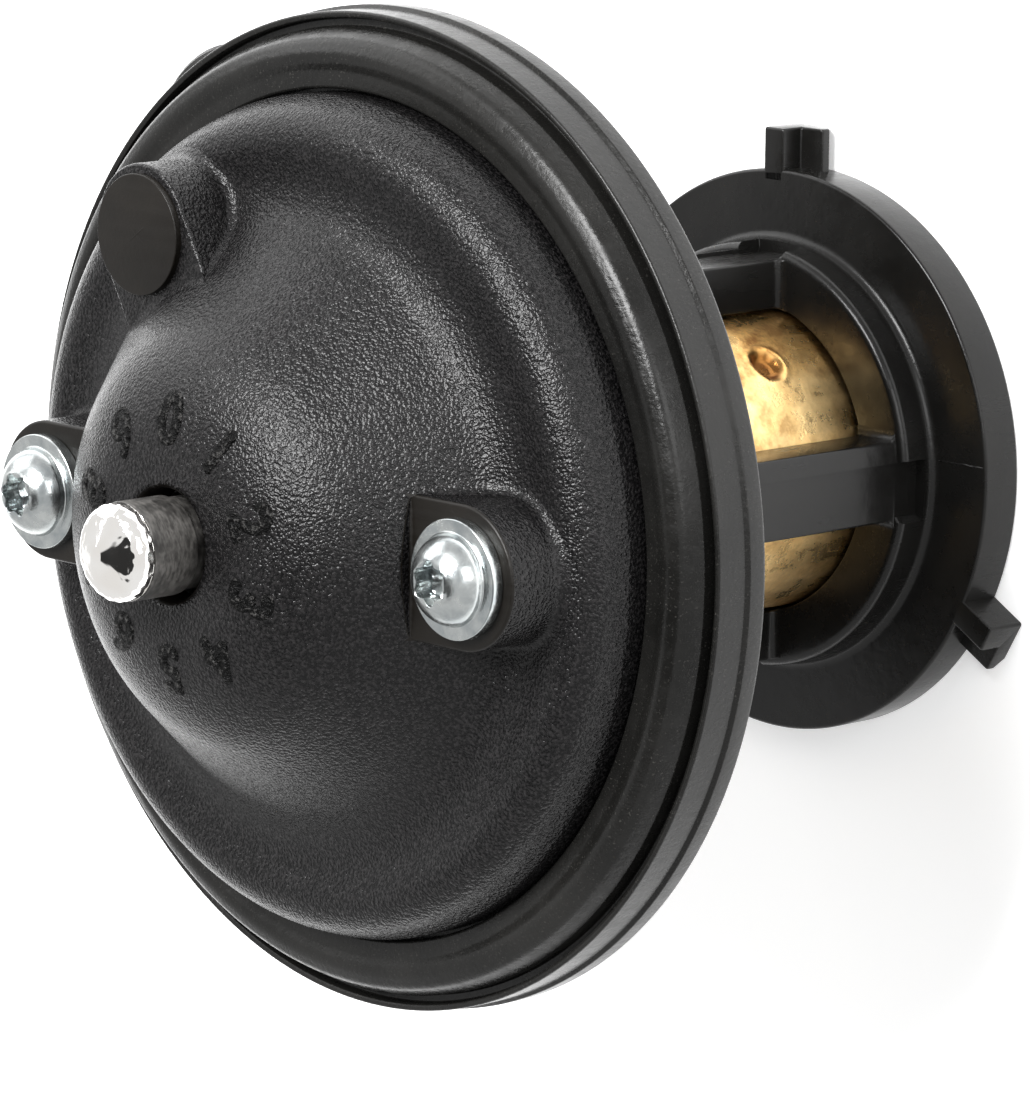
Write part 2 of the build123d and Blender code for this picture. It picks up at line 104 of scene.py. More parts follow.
def finish(name, build, **fixed):
    material = bpy.data.materials.new(name)
    material.use_nodes = True
    tree = material.node_tree
    tree.nodes.clear()
    shader = put(tree, "ShaderNodeBsdfPrincipled")
    put(tree, "ShaderNodeOutputMaterial", {"Surface": shader.outputs[0]})
    for key, value in fixed.items():
        shader.inputs[key.replace("_", " ")].default_value = value
    for key, value in build(tree).items():
        tree.links.new(value, shader.inputs[key])
    return material


# finishes
def coverFinish(tree):  # spark-eroded grain, glass filled, with painted glints in the colour
    grainAndGlints = grain(tree, 3600, 1.0, 0.5)
    cloud = grain(tree, 45, 3.0, 0.6)
    shade = tinted(tree, cloud, (0.0014, 0.0014, 0.0015), (0.0036, 0.0034, 0.0036))
    return {
        # the lighter specks in the colour sit on the grain's raised points and are painted glints
        "Base Color": tinted(tree, grainAndGlints, shade, (0.013, 0.0122, 0.0125), 0.44, 0.68),
        "Roughness": spread(tree, grainAndGlints, 0.30, 0.18),
        "Normal": bump(tree, (grainAndGlints, 0.14)),
    }


def padFinish(tree):  # smooth as the mould was turned, with faint slanted lines
    lines = grain(tree, 1300, 2.0, 0.6, stretch=(0.06, 1, 1), turn=(0, 0, 0.5))
    fine = grain(tree, 2600, 2.0, 0.6)
    cloud = grain(tree, 160, 3.0, 0.6)
    return {
        "Base Color": tinted(tree, cloud, (0.0028, 0.0022, 0.0016), (0.0062, 0.0050, 0.0037)),
        "Roughness": spread(tree, lines, 0.30, 0.46),
        "Normal": bump(tree, (fine, 0.015), (lines, 0.012)),
    }


def digitFinish(tree):
    pitsAndPaintedLight = grain(tree, 2000, 2.0, 0.7)
    return {
        # near black in the bump's pits as painted shade, lighter on the raised tops as painted glints
        "Base Color": tinted(tree, pitsAndPaintedLight, (0.0002, 0.0002, 0.0002), (0.030, 0.029, 0.028), 0.54, 0.64),
        "Roughness": spread(tree, pitsAndPaintedLight, 0.60, 0.30),
        "Normal": bump(tree, (pitsAndPaintedLight, 0.7)),
    }


def cageFinish(tree):  # smooth as moulded, a little scratched
    cloud = grain(tree, 60, 3.0, 0.6)
    haze = grain(tree, 900, 3.0, 0.6)
    scratch = grain(tree, 420, 4.0, 0.7, stretch=(1, 1, 0.12))
    lines = grain(tree, 1500, 3.0, 0.7, stretch=(1, 1, 0.05))
    return {
        "Base Color": tinted(tree, cloud, (0.0025, 0.0024, 0.0022), (0.0070, 0.0067, 0.0062)),
        "Roughness": calc(tree, "ADD", spread(tree, cloud, 0.16, 0.28), spread(tree, scratch, -0.03, 0.08)),
        "Normal": bump(tree, (haze, 0.022), (scratch, 0.025), (lines, 0.008)),
    }


def rubberFinish(tree):  # moulded, a little dusty
    cloud = grain(tree, 80, 4.0, 0.65)
    fine = grain(tree, 2200, 3.0, 0.6)
    lint = grain(tree, 5200, 1.0, 0.5)
    patches = grain(tree, 130, 3.0, 0.7, offset=(0.3, 0, 0))
    scuff = grain(tree, 700, 4.0, 0.75, stretch=(1, 1, 0.35))
    specks = spread(tree, lint, 0, 1, 0.64, 0.74)
    dusty = calc(tree, "MULTIPLY", specks, spread(tree, patches, 0.1, 0.8, 0.4, 0.7))
    base = tinted(tree, cloud, (0.0042, 0.0041, 0.0038), (0.0095, 0.0092, 0.0085))
    scuffed = spread(tree, scuff, -0.02, 0.10, 0.45, 0.7)
    return {
        "Base Color": blendColour(tree, dusty, base, (0.045, 0.043, 0.039)),
        "Roughness": calc(tree, "ADD", spread(tree, cloud, 0.22, 0.32), scuffed),
        "Normal": bump(tree, (cloud, 0.04), (scuff, 0.02), (fine, 0.035)),
    }


def zincFinish(tree):
    cloud = grain(tree, 420, 3.0, 0.6)
    fine = grain(tree, 2600, 2.0, 0.6)
    return {
        "Base Color": tinted(tree, cloud, (0.32, 0.35, 0.36), (0.56, 0.58, 0.57)),
        "Roughness": spread(tree, cloud, 0.16, 0.30),
        "Normal": bump(tree, (cloud, 0.03), (fine, 0.014)),
    }


def noseFinish(tree):  # turned and polished, a little dented
    turnedMarks = grain(tree, 700, 2.0, 0.5, stretch=(0.2, 0.2, 3))
    dents = grain(tree, 460, 1.0, 0.4)
    return {
        "Base Color": tinted(tree, dents, (0.92, 0.89, 0.85), (0.98, 0.965, 0.94)),
        "Roughness": spread(tree, turnedMarks, 0.05, 0.11),
        "Normal": bump(tree, (dents, 0.05), (turnedMarks, 0.006)),
    }


def sleeveFinish(tree):
    cloud = grain(tree, 220, 4.0, 0.65)
    streak = grain(tree, 3600, 2.0, 0.6, stretch=(0.3, 0.3, 1))
    rubbed = spread(tree, cloud, 0.1, 1, 0.42, 0.58)
    worn = calc(tree, "MULTIPLY", rubbed, spread(tree, streak, 0.35, 1, 0.35, 0.65))
    return {
        "Base Color": blendColour(tree, worn, (0.006, 0.0056, 0.0052), (0.085, 0.081, 0.076)),
        "Roughness": spread(tree, streak, 0.34, 0.50),
        "Normal": bump(tree, (streak, 0.02), (cloud, 0.02)),
    }


# painted shade darkening the inside of the punched dimple
dimpleShade = {"spot": (9.44, 10.2, 15.4), "most": 0.95, "core": 1.8, "edge": 2.4, "ragged": 0.8}


def brassFinish(tree):  # tarnished, with stains from handling, and the punched dimple darkened with painted shade
    cloud = grain(tree, 110, 5.0, 0.65)
    blotch = grain(tree, 330, 4.0, 0.7, offset=(0.01, 0.02, 0))
    drawn = grain(tree, 800, 3.0, 0.6, stretch=(1, 1, 0.08))
    bright = tinted(tree, cloud, (0.92, 0.65, 0.30), (0.74, 0.44, 0.15), 0.38, 0.62)
    handled = spread(tree, blotch, 0, 0.9, 0.48, 0.64)
    stainAndShade = calc(tree, "MULTIPLY", handled, spread(tree, cloud, 0.25, 1, 0.35, 0.65))
    # the dimple's painted shade joins the handling stains in one dark brown
    spots = {0: put(tree, "ShaderNodeTexCoord").outputs["Object"], 1: Vector(dimpleShade["spot"]) * mm}
    away = put(tree, "ShaderNodeVectorMath", spots, operation="DISTANCE").outputs["Value"]
    ragged = calc(tree, "ADD", away, calc(tree, "MULTIPLY", blotch, dimpleShade["ragged"] * mm))
    core, edge = dimpleShade["core"] * mm, dimpleShade["edge"] * mm
    stainAndShade = calc(tree, "MAXIMUM", stainAndShade, spread(tree, ragged, dimpleShade["most"], 0, core, edge))
    return {
        "Base Color": blendColour(tree, stainAndShade, bright, (0.20, 0.08, 0.018)),
        "Roughness": calc(tree, "ADD", spread(tree, blotch, 0.2, 0.40), spread(tree, drawn, -0.03, 0.05)),
        "Normal": bump(tree, (blotch, 0.05), (drawn, 0.012)),
    }


def springFinish(tree):
    fine = grain(tree, 1500, 2.0, 0.6)
    return {"Roughness": spread(tree, fine, 0.25, 0.4), "Normal": bump(tree, (fine, 0.008))}


def plainFinish(tree):
    fine = grain(tree, 900, 2.0, 0.6)
    return {"Roughness": spread(tree, fine, 0.45, 0.65), "Normal": bump(tree, (fine, 0.015))}


coverPlastic = finish("coverPlastic", coverFinish, Specular_IOR_Level=0.22)
padPlastic = finish("padPlastic", padFinish, Specular_IOR_Level=0.22)
digitPlastic = finish("digitPlastic", digitFinish, Specular_IOR_Level=0.1)
cagePlastic = finish("cagePlastic", cageFinish, Specular_IOR_Level=0.26)
ringRubber = finish("ringRubber", rubberFinish, Specular_IOR_Level=0.25)
zincSteel = finish("zincSteel", zincFinish, Metallic=1.0)
noseSteel = finish("noseSteel", noseFinish, Metallic=1.0)
sleevePlastic = finish("sleevePlastic", sleeveFinish, Specular_IOR_Level=0.3)
capsuleBrass = finish("capsuleBrass", brassFinish, Metallic=1.0)
springSteel = finish("springSteel", springFinish, Metallic=1.0, Base_Color=(0.45, 0.45, 0.46, 1))
innerRubber = finish("innerRubber", plainFinish, Base_Color=(0.03, 0.03, 0.03, 1))
waxFill = finish("waxFill", plainFinish, Base_Color=(0.75, 0.68, 0.5, 1))
whitePlastic = finish("whitePlastic", plainFinish, Base_Color=(0.85, 0.85, 0.83, 1))
print("materials done")


# outlines and plain meshes, in millimetres
def arc(centre, start, sweep, steps):
    points = []
    for part in range(steps + 1):
        cosine, sine = cos(sweep * part / steps), sin(sweep * part / steps)
        along, across = start.x * cosine + start.y * sine, start.y * cosine - start.x * sine
        points.append((centre.x + along, centre.y + across))
    return points


def roundPath(points, radii, step=0.25, closed=False, fixedSteps=0, widest=radians(18)):
    path = []
    count = len(points)
    for number, point in enumerate(points):
        radius = radii[number] if number < len(radii) else 0
        if not radius or (not closed and number in (0, count - 1)):
            path.append(tuple(point))
            continue
        here = Vector(point)
        back = (Vector(points[number - 1]) - here).normalized()
        ahead = (Vector(points[(number + 1) % count]) - here).normalized()
        half = back.angle(ahead) / 2
        middle = here + (back + ahead).normalized() * radius / sin(half)
        reach = radius * cos(half) / sin(half)
        first = here + back * reach - middle
        sweep = first.angle_signed(here + ahead * reach - middle)
        steps = fixedSteps or 1 + max(1, int(abs(sweep) * radius / step), int(abs(sweep) / widest))
        path += arc(middle, first, sweep, steps)
    return path


def corners(values, names):  # pairs of names, for radius and height, looked up in a piece's values
    return [tuple(values[name] for name in pair.split()) for pair in names.split(",")]


def finer(path, step, wanted):  # cuts up each stretch that is wanted fine
    points = []
    for (r0, z0), (r1, z1) in zip(path, path[1:]):
        steps = max(1, int(hypot(r1 - r0, z1 - z0) / step)) if wanted(r0, z0, r1, z1) else 1
        points += [(r0 + (r1 - r0) * part / steps, z0 + (z1 - z0) * part / steps) for part in range(steps)]
    return points + path[-1:]


def roughNoise(first, second, share=0.5):  # two sizes of noise, one on the other
    return noise.noise(first) + share * noise.noise(second)


def arcThrough(first, middle, last, count):
    (ax, ay), (bx, by), (cx, cy) = first, middle, last
    double = 2 * (ax * (by - cy) + bx * (cy - ay) + cx * (ay - by))
    a, b, c = ax * ax + ay * ay, bx * bx + by * by, cx * cx + cy * cy
    across = a * (by - cy) + b * (cy - ay) + c * (ay - by)
    up = a * (cx - bx) + b * (ax - cx) + c * (bx - ax)
    centre = Vector((across, up)) / double
    start, end = Vector(first) - centre, Vector(last) - centre
    return arc(centre, start, start.angle_signed(end), count)


def heal(mesh, sharp, merge):
    tidy = bmesh.new()
    tidy.from_mesh(mesh)
    if merge:
        bmesh.ops.remove_doubles(tidy, verts=tidy.verts, dist=1e-6)
    bmesh.ops.dissolve_degenerate(tidy, edges=tidy.edges, dist=1e-7)
    bmesh.ops.recalc_face_normals(tidy, faces=tidy.faces)
    tidy.to_mesh(mesh)
    tidy.free()
    mesh.shade_smooth()
    mesh.set_sharp_from_angle(angle=radians(sharp))


def placed(name, data):
    thing = bpy.data.objects.new(name, data)
    bpy.context.scene.collection.objects.link(thing)
    return thing


def meshPiece(name, points, faces, material, sharp=38):
    mesh = bpy.data.meshes.new(name)
    mesh.from_pydata([Vector(point) * mm for point in points], [], faces)
    heal(mesh, sharp, merge=True)
    mesh.materials.append(material)
    return placed(name, mesh)


def strips(rows, columns, closeRows=True):  # quads over a grid whose columns run round
    faces = []
    for row in range(rows if closeRows else rows - 1):
        below = (row + 1) % rows
        for column in range(columns):
            following = (column + 1) % columns
            faces.append((
                row * columns + column, row * columns + following,
                below * columns + following, below * columns + column,
            ))
    return faces


def lathe(profile, angles, closed=True, shape=None):
    shape = shape or (lambda radius, angle, height: (radius * cos(angle), radius * sin(angle), height))
    points = [shape(radius, angle, height) for radius, height in profile for angle in angles]
    return points, strips(len(profile), len(angles), closed)


def prism(outlines):  # equal outlines in space, joined, with both ends closed
    size = len(outlines[0])
    points = [point for outline in outlines for point in outline]
    ends = [tuple(range(size)), tuple(reversed(range(len(points) - size, len(points))))]
    return points, ends + strips(len(outlines), size, False)


def gather(parts):
    points, faces = [], []
    for more, extra in parts:
        start = len(points)
        points += more
        faces += [tuple(index + start for index in face) for face in extra]
    return points, faces


def evenAngles(count):
    return [tau * number / count for number in range(count)]


def settle(piece, body, slot, *nodes):
    if nodes:
        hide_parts(*nodes)
    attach(piece, body)


# Geometry Nodes: trees are built here, run, and kept as plain meshes
def newTree(name, *inputs):
    tree = bpy.data.node_groups.new(name, "GeometryNodeTree")
    tree.interface.new_socket("Geometry", in_out="INPUT", socket_type="NodeSocketGeometry")
    for label, kind, value in inputs:
        socket = tree.interface.new_socket(label, in_out="INPUT", socket_type="NodeSocket" + kind)
        if value is not None:
            socket.default_value = value
    tree.interface.new_socket("Geometry", in_out="OUTPUT", socket_type="NodeSocketGeometry")
    return tree, tree.nodes.new("NodeGroupInput").outputs


def closeTree(tree, shape, material):
    realised = result(tree, "GeometryNodeRealizeInstances", {"Geometry": shape})
    merged = result(tree, "GeometryNodeMergeByDistance", {"Geometry": realised, "Distance": 2e-6})
    painted = result(tree, "GeometryNodeSetMaterial", {"Geometry": merged, "Material": material})
    tree.links.new(painted, tree.nodes.new("NodeGroupOutput").inputs[0])


def grown(name, tree, sharp=38, **values):
    carrier = placed(name, bpy.data.meshes.new(name))
    modifier = carrier.modifiers.new("grow", "NODES")
    modifier.node_group = tree
    for item in tree.interface.items_tree:
        if item.in_out == "INPUT" and item.name in values:
            modifier[item.identifier] = values[item.name]
    bpy.context.view_layer.update()
    ready = carrier.evaluated_get(bpy.context.evaluated_depsgraph_get())
    mesh = bpy.data.meshes.new_from_object(ready)
    carrier.modifiers.clear()
    carrier.data = mesh
    mesh.name = name
    heal(mesh, sharp, merge=False)
    return carrier


def turnedTree():  # a profile of r, z and lobing, held in loose points, turned about an axis along Z
    tree, given = newTree(
        "turned",
        ("Profile", "Object", None), ("Points", "Int", 10), ("Segments", "Int", 256), ("Place", "Float", 0.0),
        ("Lobe", "Float", 0.0), ("Turn", "Float", 0.0), ("Finish", "Material", None),
    )
    columns = calc(tree, "ADD", given["Segments"], 1.0)
    wires = {"Vertices X": given["Points"], "Vertices Y": columns}
    sheet = put(tree, "GeometryNodeMeshGrid", wires).outputs["Mesh"]
    index = result(tree, "GeometryNodeInputIndex")
    row = calc(tree, "FLOOR", calc(tree, "DIVIDE", calc(tree, "ADD", index, 0.5), columns))
    column = calc(tree, "SUBTRACT", index, calc(tree, "MULTIPLY", row, columns))
    angle = calc(tree, "MULTIPLY", calc(tree, "DIVIDE", column, given["Segments"]), tau)
    profile = put(tree, "GeometryNodeObjectInfo", {"Object": given["Profile"]}).outputs["Geometry"]
    here = result(tree, "GeometryNodeInputPosition")
    wires = {"Geometry": profile, "Index": row}
    sampled = put(tree, "GeometryNodeSampleIndex", wires, data_type="FLOAT_VECTOR", domain="POINT")
    tree.links.new(here, sampled.inputs["Value"])
    flat = put(tree, "ShaderNodeSeparateXYZ", {0: sampled.outputs[0]}).outputs
    sixth = calc(tree, "COSINE", calc(tree, "MULTIPLY", calc(tree, "ADD", angle, given["Turn"]), 6.0))
    lobed = calc(tree, "MULTIPLY", calc(tree, "MULTIPLY", sixth, given["Lobe"]), flat[2])
    radius = calc(tree, "ADD", flat[0], lobed)
    x = calc(tree, "ADD", calc(tree, "MULTIPLY", radius, calc(tree, "COSINE", angle)), given["Place"])
    y = calc(tree, "MULTIPLY", radius, calc(tree, "SINE", angle))
    place = result(tree, "ShaderNodeCombineXYZ", {0: x, 1: y, 2: flat[1]})
    shaped = result(tree, "GeometryNodeSetPosition", {"Geometry": sheet, "Position": place})
    closeTree(tree, shaped, given["Finish"])
    return tree


turned = turnedTree()


def turnedPiece(name, profile, material, segments=256, closed=False, sharp=38, **more):
    rows = [(*row, 0) if len(row) == 2 else row for row in profile]
    rows += rows[:1] if closed else []
    line = bpy.data.meshes.new(name + "Profile")
    line.from_pydata([(radius * mm, height * mm, lobing) for radius, height, lobing in rows], [], [])
    holder = bpy.data.objects.new(name + "Profile", line)
    more.update(Profile=holder, Points=len(rows), Segments=segments, Finish=material)
    piece = grown(name, turned, sharp, **more)
    bpy.data.objects.remove(holder)
    return piece


# valve ring: rubber bead in front, lip round the plate behind, and a small moulded tab
ring = {
    "root": 36.5, "joint": 54.6, "rootTop": 56.55, "riseAt": 38.0, "rise": 56.6, "crownAt": 39.2,
    "crown": 57.1, "fallAt": 40.7, "fall": 56.45, "rubberEdge": 41.55, "edge": 54.8, "floor": 53.4,
    "groove": 42.35, "grooveTop": 54.45, "inset": 42.95, "lipTop": 54.7, "lipFoot": 51.6, "lip": 43.3,
    "step": 51.3, "rear": 49.4, "slot": 38.9, "plateTop": 52.8, "web": 33.2,
    "rounds": [0, 0.3, 1.2, 1.6, 1.4, 0.4, 0.2, 0.2, 0.15, 0.25, 0.1, 0.2, 0.45, 0.35, 0, 0, 0],
    "tabAngle": 127, "tabHalf": 0.3, "tabInside": 42.4, "tabRadius": 12, "tabReach": 1.8, "tabTop": 51.6,
}
ringCorners = corners(
    ring,
    "root joint, root rootTop, riseAt rise, crownAt crown, fallAt fall, rubberEdge edge,"
    "rubberEdge floor, groove floor, groove grooveTop, inset lipTop, inset lipFoot, lip step,"
    "lip rear, slot rear, slot plateTop, web plateTop, web joint",
)
ringPath = roundPath(ringCorners, ring["rounds"], 0.12, closed=True)
valveRing = turnedPiece("valveRing", ringPath, ringRubber, 384, closed=True)
tabMiddle = ring["lip"] + ring["tabReach"] - ring["tabRadius"]
for vertex in valveRing.data.vertices:
    x, y, z = vertex.co / mm
    radius, angle = hypot(x, y), atan2(y, x) - radians(ring["tabAngle"])
    if radius > ring["tabInside"] and z < ring["tabTop"] and abs(angle) < ring["tabHalf"]:
        reach = tabMiddle * cos(angle) + sqrt(ring["tabRadius"] ** 2 - (tabMiddle * sin(angle)) ** 2)
        if reach > ring["lip"]:
            vertex.co.xy *= (radius + reach - ring["lip"]) / radius
settle(valveRing, housing, "ring_rubber", "seal_ring")
print("valve ring done")


# front cover: the bell, two screw pads that cut into it, and the gate boss that grows out of it
cover = {
    "crown": [(5.1, 76.6), (13.8, 76.6), (26.9, 61.4), (34.6, 62.6), (36.2, 58.0), (36.2, 54.6)],
    "rounds": [0, 14.5, 6, 3.6, 0.8, 0], "innerRounds": [0, 1.5, 4, 6, 0, 0, 0], "axis": 0, "valley": 30,
    "inner": [
        (33.6, 54.6), (33.6, 59.2), (25.9, 59.2), (13.0, 73.6), (9.9, 73.1), (4.8, 73.1), (4.8, 76.3),
    ],
    "pad": 67.7, "padInner": 20.5, "padCentre": 26.6, "padRadius": 6.1, "corner": 0.6,
    "gateAngle": 120, "gateCentre": 27.8, "gateRadius": 5.75, "gateBlend": 1.1,
    "topRound": 0.3, "footRound": 0.9, "roundShare": 0.45, "wallSteps": 5, "chord": 0.4, "arcSteps": 24,
    "columns": 256, "gridStep": 0.5, "gridSpare": 0.6, "clear": 0.35,
    "footSpots": ((26, 0), (-26, 0), (-13.5, 23.5)), "footReach": 9.5,
    "disc": 5.2, "discPlace": 27.5, "discRise": 0.6, "discSunk": -0.3,
    "mark": 1.4, "markHalf": 0.12, "markRise": 0.06, "markAngles": (20, 95),
    "markShape": ((-1, 0), (-0.3, 1), (0.2, 0.6), (1, 0)),
    "smoothEdge": 5.12, "slack": 0.05, "skim": 0.02, "upwards": 0.2,
}
crownPath = roundPath(cover["crown"], cover["rounds"], 0.3)
beyondValley = [place for place, spot in enumerate(crownPath) if spot[0] >= cover["valley"]]
shelfEnd = max(beyondValley, key=lambda place: crownPath[place][1])


def crownHeight(radius):
    for (r0, z0), (r1, z1) in zip(crownPath, crownPath[1:]):
        if r0 <= radius <= r1 and r1 > r0:
            return z0 + (z1 - z0) * (radius - r0) / (r1 - r0)
    return crownPath[0][1] if radius < crownPath[0][0] else crownPath[shelfEnd][1]


stretches = zip(crownPath, crownPath[1:])
slopes = [(z0 - z1, r1 - r0) for (r0, z0), (r1, z1) in stretches if z0 > cover["pad"] > z1]
bellTurn = atan2(*slopes[0])  # how steep the bell is where it meets the pads' height
hundredths = range(1800, 2600)  # of a millimetre, out to where the bell falls below the pads' height
bellReach = next(number / 100 for number in hundredths if crownHeight(number / 100) < cover["pad"])
gateArc = bellReach + cover["gateBlend"] * sin(bellTurn / 2) / cos(bellTurn / 2)


def padOutline(angle, inner, centre, radius, onArc=False):
    # straight or hollow on the inner side, round on the outer; anticlockwise, with a flag for the hollow side
    if onArc:
        half, steps = asin(radius / inner), 16
        turns = [half - half * part / steps for part in range(2 * steps + 1)]
        hollow = [(inner * cos(turn), inner * sin(turn)) for turn in turns]
        sides = [(centre, radius)] + hollow + [(centre, -radius)]
    else:
        square = [(centre, radius), (inner, radius), (inner, -radius), (centre, -radius)]
        sides = roundPath(square, [0, cover["corner"], cover["corner"], 0], 0.2)
    outline = []
    for (x0, y0), (x1, y1) in zip(sides, sides[1:]):
        steps = max(1, round(hypot(x1 - x0, y1 - y0) / cover["chord"]))
        for part in range(steps):
            spot = (x0 + (x1 - x0) * part / steps, y0 + (y1 - y0) * part / steps)
            outline.append((spot, onArc and hypot(*spot) < inner + 0.01))
    steps = max(cover["arcSteps"], int(pi * radius / cover["chord"]))
    for part in range(steps):
        turn = pi * part / steps
        outline.append(((centre + radius * sin(turn), -radius * cos(turn)), False))
    matrix = Matrix.Rotation(radians(angle), 2)
    return [(matrix @ Vector(spot), flag) for spot, flag in outline]


def outwards(points):
    neighbours = zip(points[-1:] + points[:-1], points[1:] + points[:1])
    alongs = [(ahead - back).normalized() for back, ahead in neighbours]
    return [Vector((along.y, -along.x)) for along in alongs]


def inside(point, outline):
    hit = False
    for a, b in zip(outline, outline[1:] + outline[:1]):
        if (a.y > point.y) != (b.y > point.y) and point.x < (b.x - a.x) * (point.y - a.y) / (b.y - a.y) + a.x:
            hit = not hit
    return hit


def padWall(point, normal, hollow):  # one column from the pad's face to the bell or the shelf
    quarter = [pi / 2 * step / cover["wallSteps"] for step in range(cover["wallSteps"] + 1)]
    count = 2 * len(quarter)
    if hollow:
        inwards = -point.normalized()
        blend = cover["gateBlend"]
        column = []
        for step in range(count):
            turn = bellTurn * step / (count - 1)
            column.append((point + inwards * blend * sin(turn), cover["pad"] + blend * (1 - cos(turn))))
        return column
    rise = cover["pad"] - crownHeight(point.length)
    way = 1 if rise > 0 else -1
    most = cover["roundShare"] * abs(rise)
    top = min(cover["topRound"], most)
    foot = min(cover["footRound"] if rise > 0 else cover["topRound"], most)
    column = []
    for turn in quarter:
        column.append((point - normal * top * (1 - sin(turn)), cover["pad"] - way * top * (1 - cos(turn))))
    for turn in quarter:
        spot = point + normal * foot * (1 - cos(turn))
        column.append((spot, crownHeight(spot.length) + way * foot * (1 - sin(turn))))
    return column


def coverMesh():
    padSizes = (cover["padInner"], cover["padCentre"], cover["padRadius"])
    gateSizes = (gateArc, cover["gateCentre"], cover["gateRadius"])
    pads = [padOutline(angle, *padSizes) for angle in (0, 180)]
    pads.append(padOutline(cover["gateAngle"], *gateSizes, onArc=True))
    parts, feet = [], []
    flatPoints, flatHeights, edges = [], [], []
    for outline in pads:
        normals = outwards([point for point, flag in outline])
        columns = [padWall(point, normal, flag) for (point, flag), normal in zip(outline, normals)]
        points = [(spot.x, spot.y, height) for level in zip(*columns) for spot, height in level]
        count = len(columns)
        parts.append((points, strips(len(columns[0]), count, closeRows=False) + [tuple(range(count))]))
        start = len(flatPoints)
        feet.append([Vector(column[-1][0]) for column in columns])
        flatPoints += feet[-1]
        flatHeights += [column[-1][1] for column in columns]
        edges += [(start + number, start + (number + 1) % count) for number in range(count)]
    angles = evenAngles(cover["columns"])
    radii = [crownPath[0][0]]
    while radii[-1] < crownPath[shelfEnd][0] - cover["gridSpare"]:
        radii.append(radii[-1] + cover["gridStep"])
    radii.append(crownPath[shelfEnd][0])
    for radius in radii:
        for angle in angles:
            spot = Vector((radius * cos(angle), radius * sin(angle)))
            near = radius not in (radii[0], radii[-1]) and any(
                inside(spot, foot) or min((spot - other).length for other in foot) < cover["clear"]
                for foot, centre in zip(feet, cover["footSpots"])
                if (spot - Vector(centre)).length < cover["footReach"]
            )
            if not near:
                flatPoints.append(spot)
                flatHeights.append(crownHeight(radius))
    places, _, triangles, origins, _, _ = geometry.delaunay_2d_cdt(flatPoints, edges, [], 0, 1e-5)
    faces = []
    for face in triangles:
        middle = sum((places[index] for index in face), Vector((0, 0))) / len(face)
        if middle.length > crownPath[0][0] * 0.999 and not any(inside(middle, foot) for foot in feet):
            faces.append(tuple(face))
    parts.append(([(spot.x, spot.y, flatHeights[origin[0]]) for spot, origin in zip(places, origins)], faces))
    innerPath = roundPath(cover["inner"], cover["innerRounds"], 0.5)
    parts.append(lathe(crownPath[shelfEnd:] + innerPath + [crownPath[0]], angles, closed=False))
    return gather(parts)


gateTurn = Matrix.Rotation(radians(cover["gateAngle"]), 2)
discMiddle = gateTurn @ Vector((cover["discPlace"], 0))


def gateDisc():  # a raised disc with the faint cross of the cut gate
    disc = corners(cover, "axis discSunk, disc discSunk, disc discRise, axis discRise")
    points, faces = lathe(roundPath(disc, [0, 0, 0.1, 0], 0.05), evenAngles(96), closed=False)
    sunk = cover["discRise"] - cover["skim"]
    for angle in cover["markAngles"]:
        tilt = Matrix.Rotation(radians(angle), 2)
        side = tilt @ Vector((0, cover["markHalf"]))
        outlines = []
        for reach, rise in cover["markShape"]:
            end = tilt @ Vector((reach * cover["mark"], 0))
            level = cover["discRise"] + cover["markRise"] * rise
            outlines.append([(*(end - side), sunk), (*end, level), (*(end + side), sunk)])
        points, faces = gather([(points, faces), prism(outlines)])
    return [(*(discMiddle + gateTurn @ Vector((x, y))), cover["pad"] + z) for x, y, z in points], faces


def smoothFace(spot, upwards):  # the bore's edge, the pads' faces and the gate's disc
    reach, slack = spot.xy.length, cover["slack"]
    overPad = abs(spot.x) > cover["padInner"] - slack and abs(spot.y) < cover["padRadius"]
    onPad = overPad and upwards > cover["upwards"] and spot.z > cover["pad"] - cover["topRound"]
    overDisc = (spot.xy - discMiddle).length < cover["disc"] + 2 * slack
    onBell = abs(spot.z - crownHeight(reach)) < 2 * slack
    onDisc = overDisc and spot.z > cover["pad"] + cover["skim"] and not onBell
    return reach < cover["smoothEdge"] or onPad or onDisc


frontCover = meshPiece("frontCover", *gather([coverMesh(), gateDisc()]), coverPlastic, 50)
frontCover.data.materials.append(padPlastic)
for polygon in frontCover.data.polygons:
    polygon.material_index = int(smoothFace(polygon.center / mm, polygon.normal.z))
settle(frontCover, housing, "cover_plastic", "front_cover")
print("front cover done", len(frontCover.data.polygons))


# digits round the piston: plain numbers in order, as on a dial, stamped rough
digits = {
    "text": "0123456789",
    "ring": 10.4, "size": 5.6, "rise": 0.18, "bead": 0.40, "step": 0.25, "ray": 100,
}


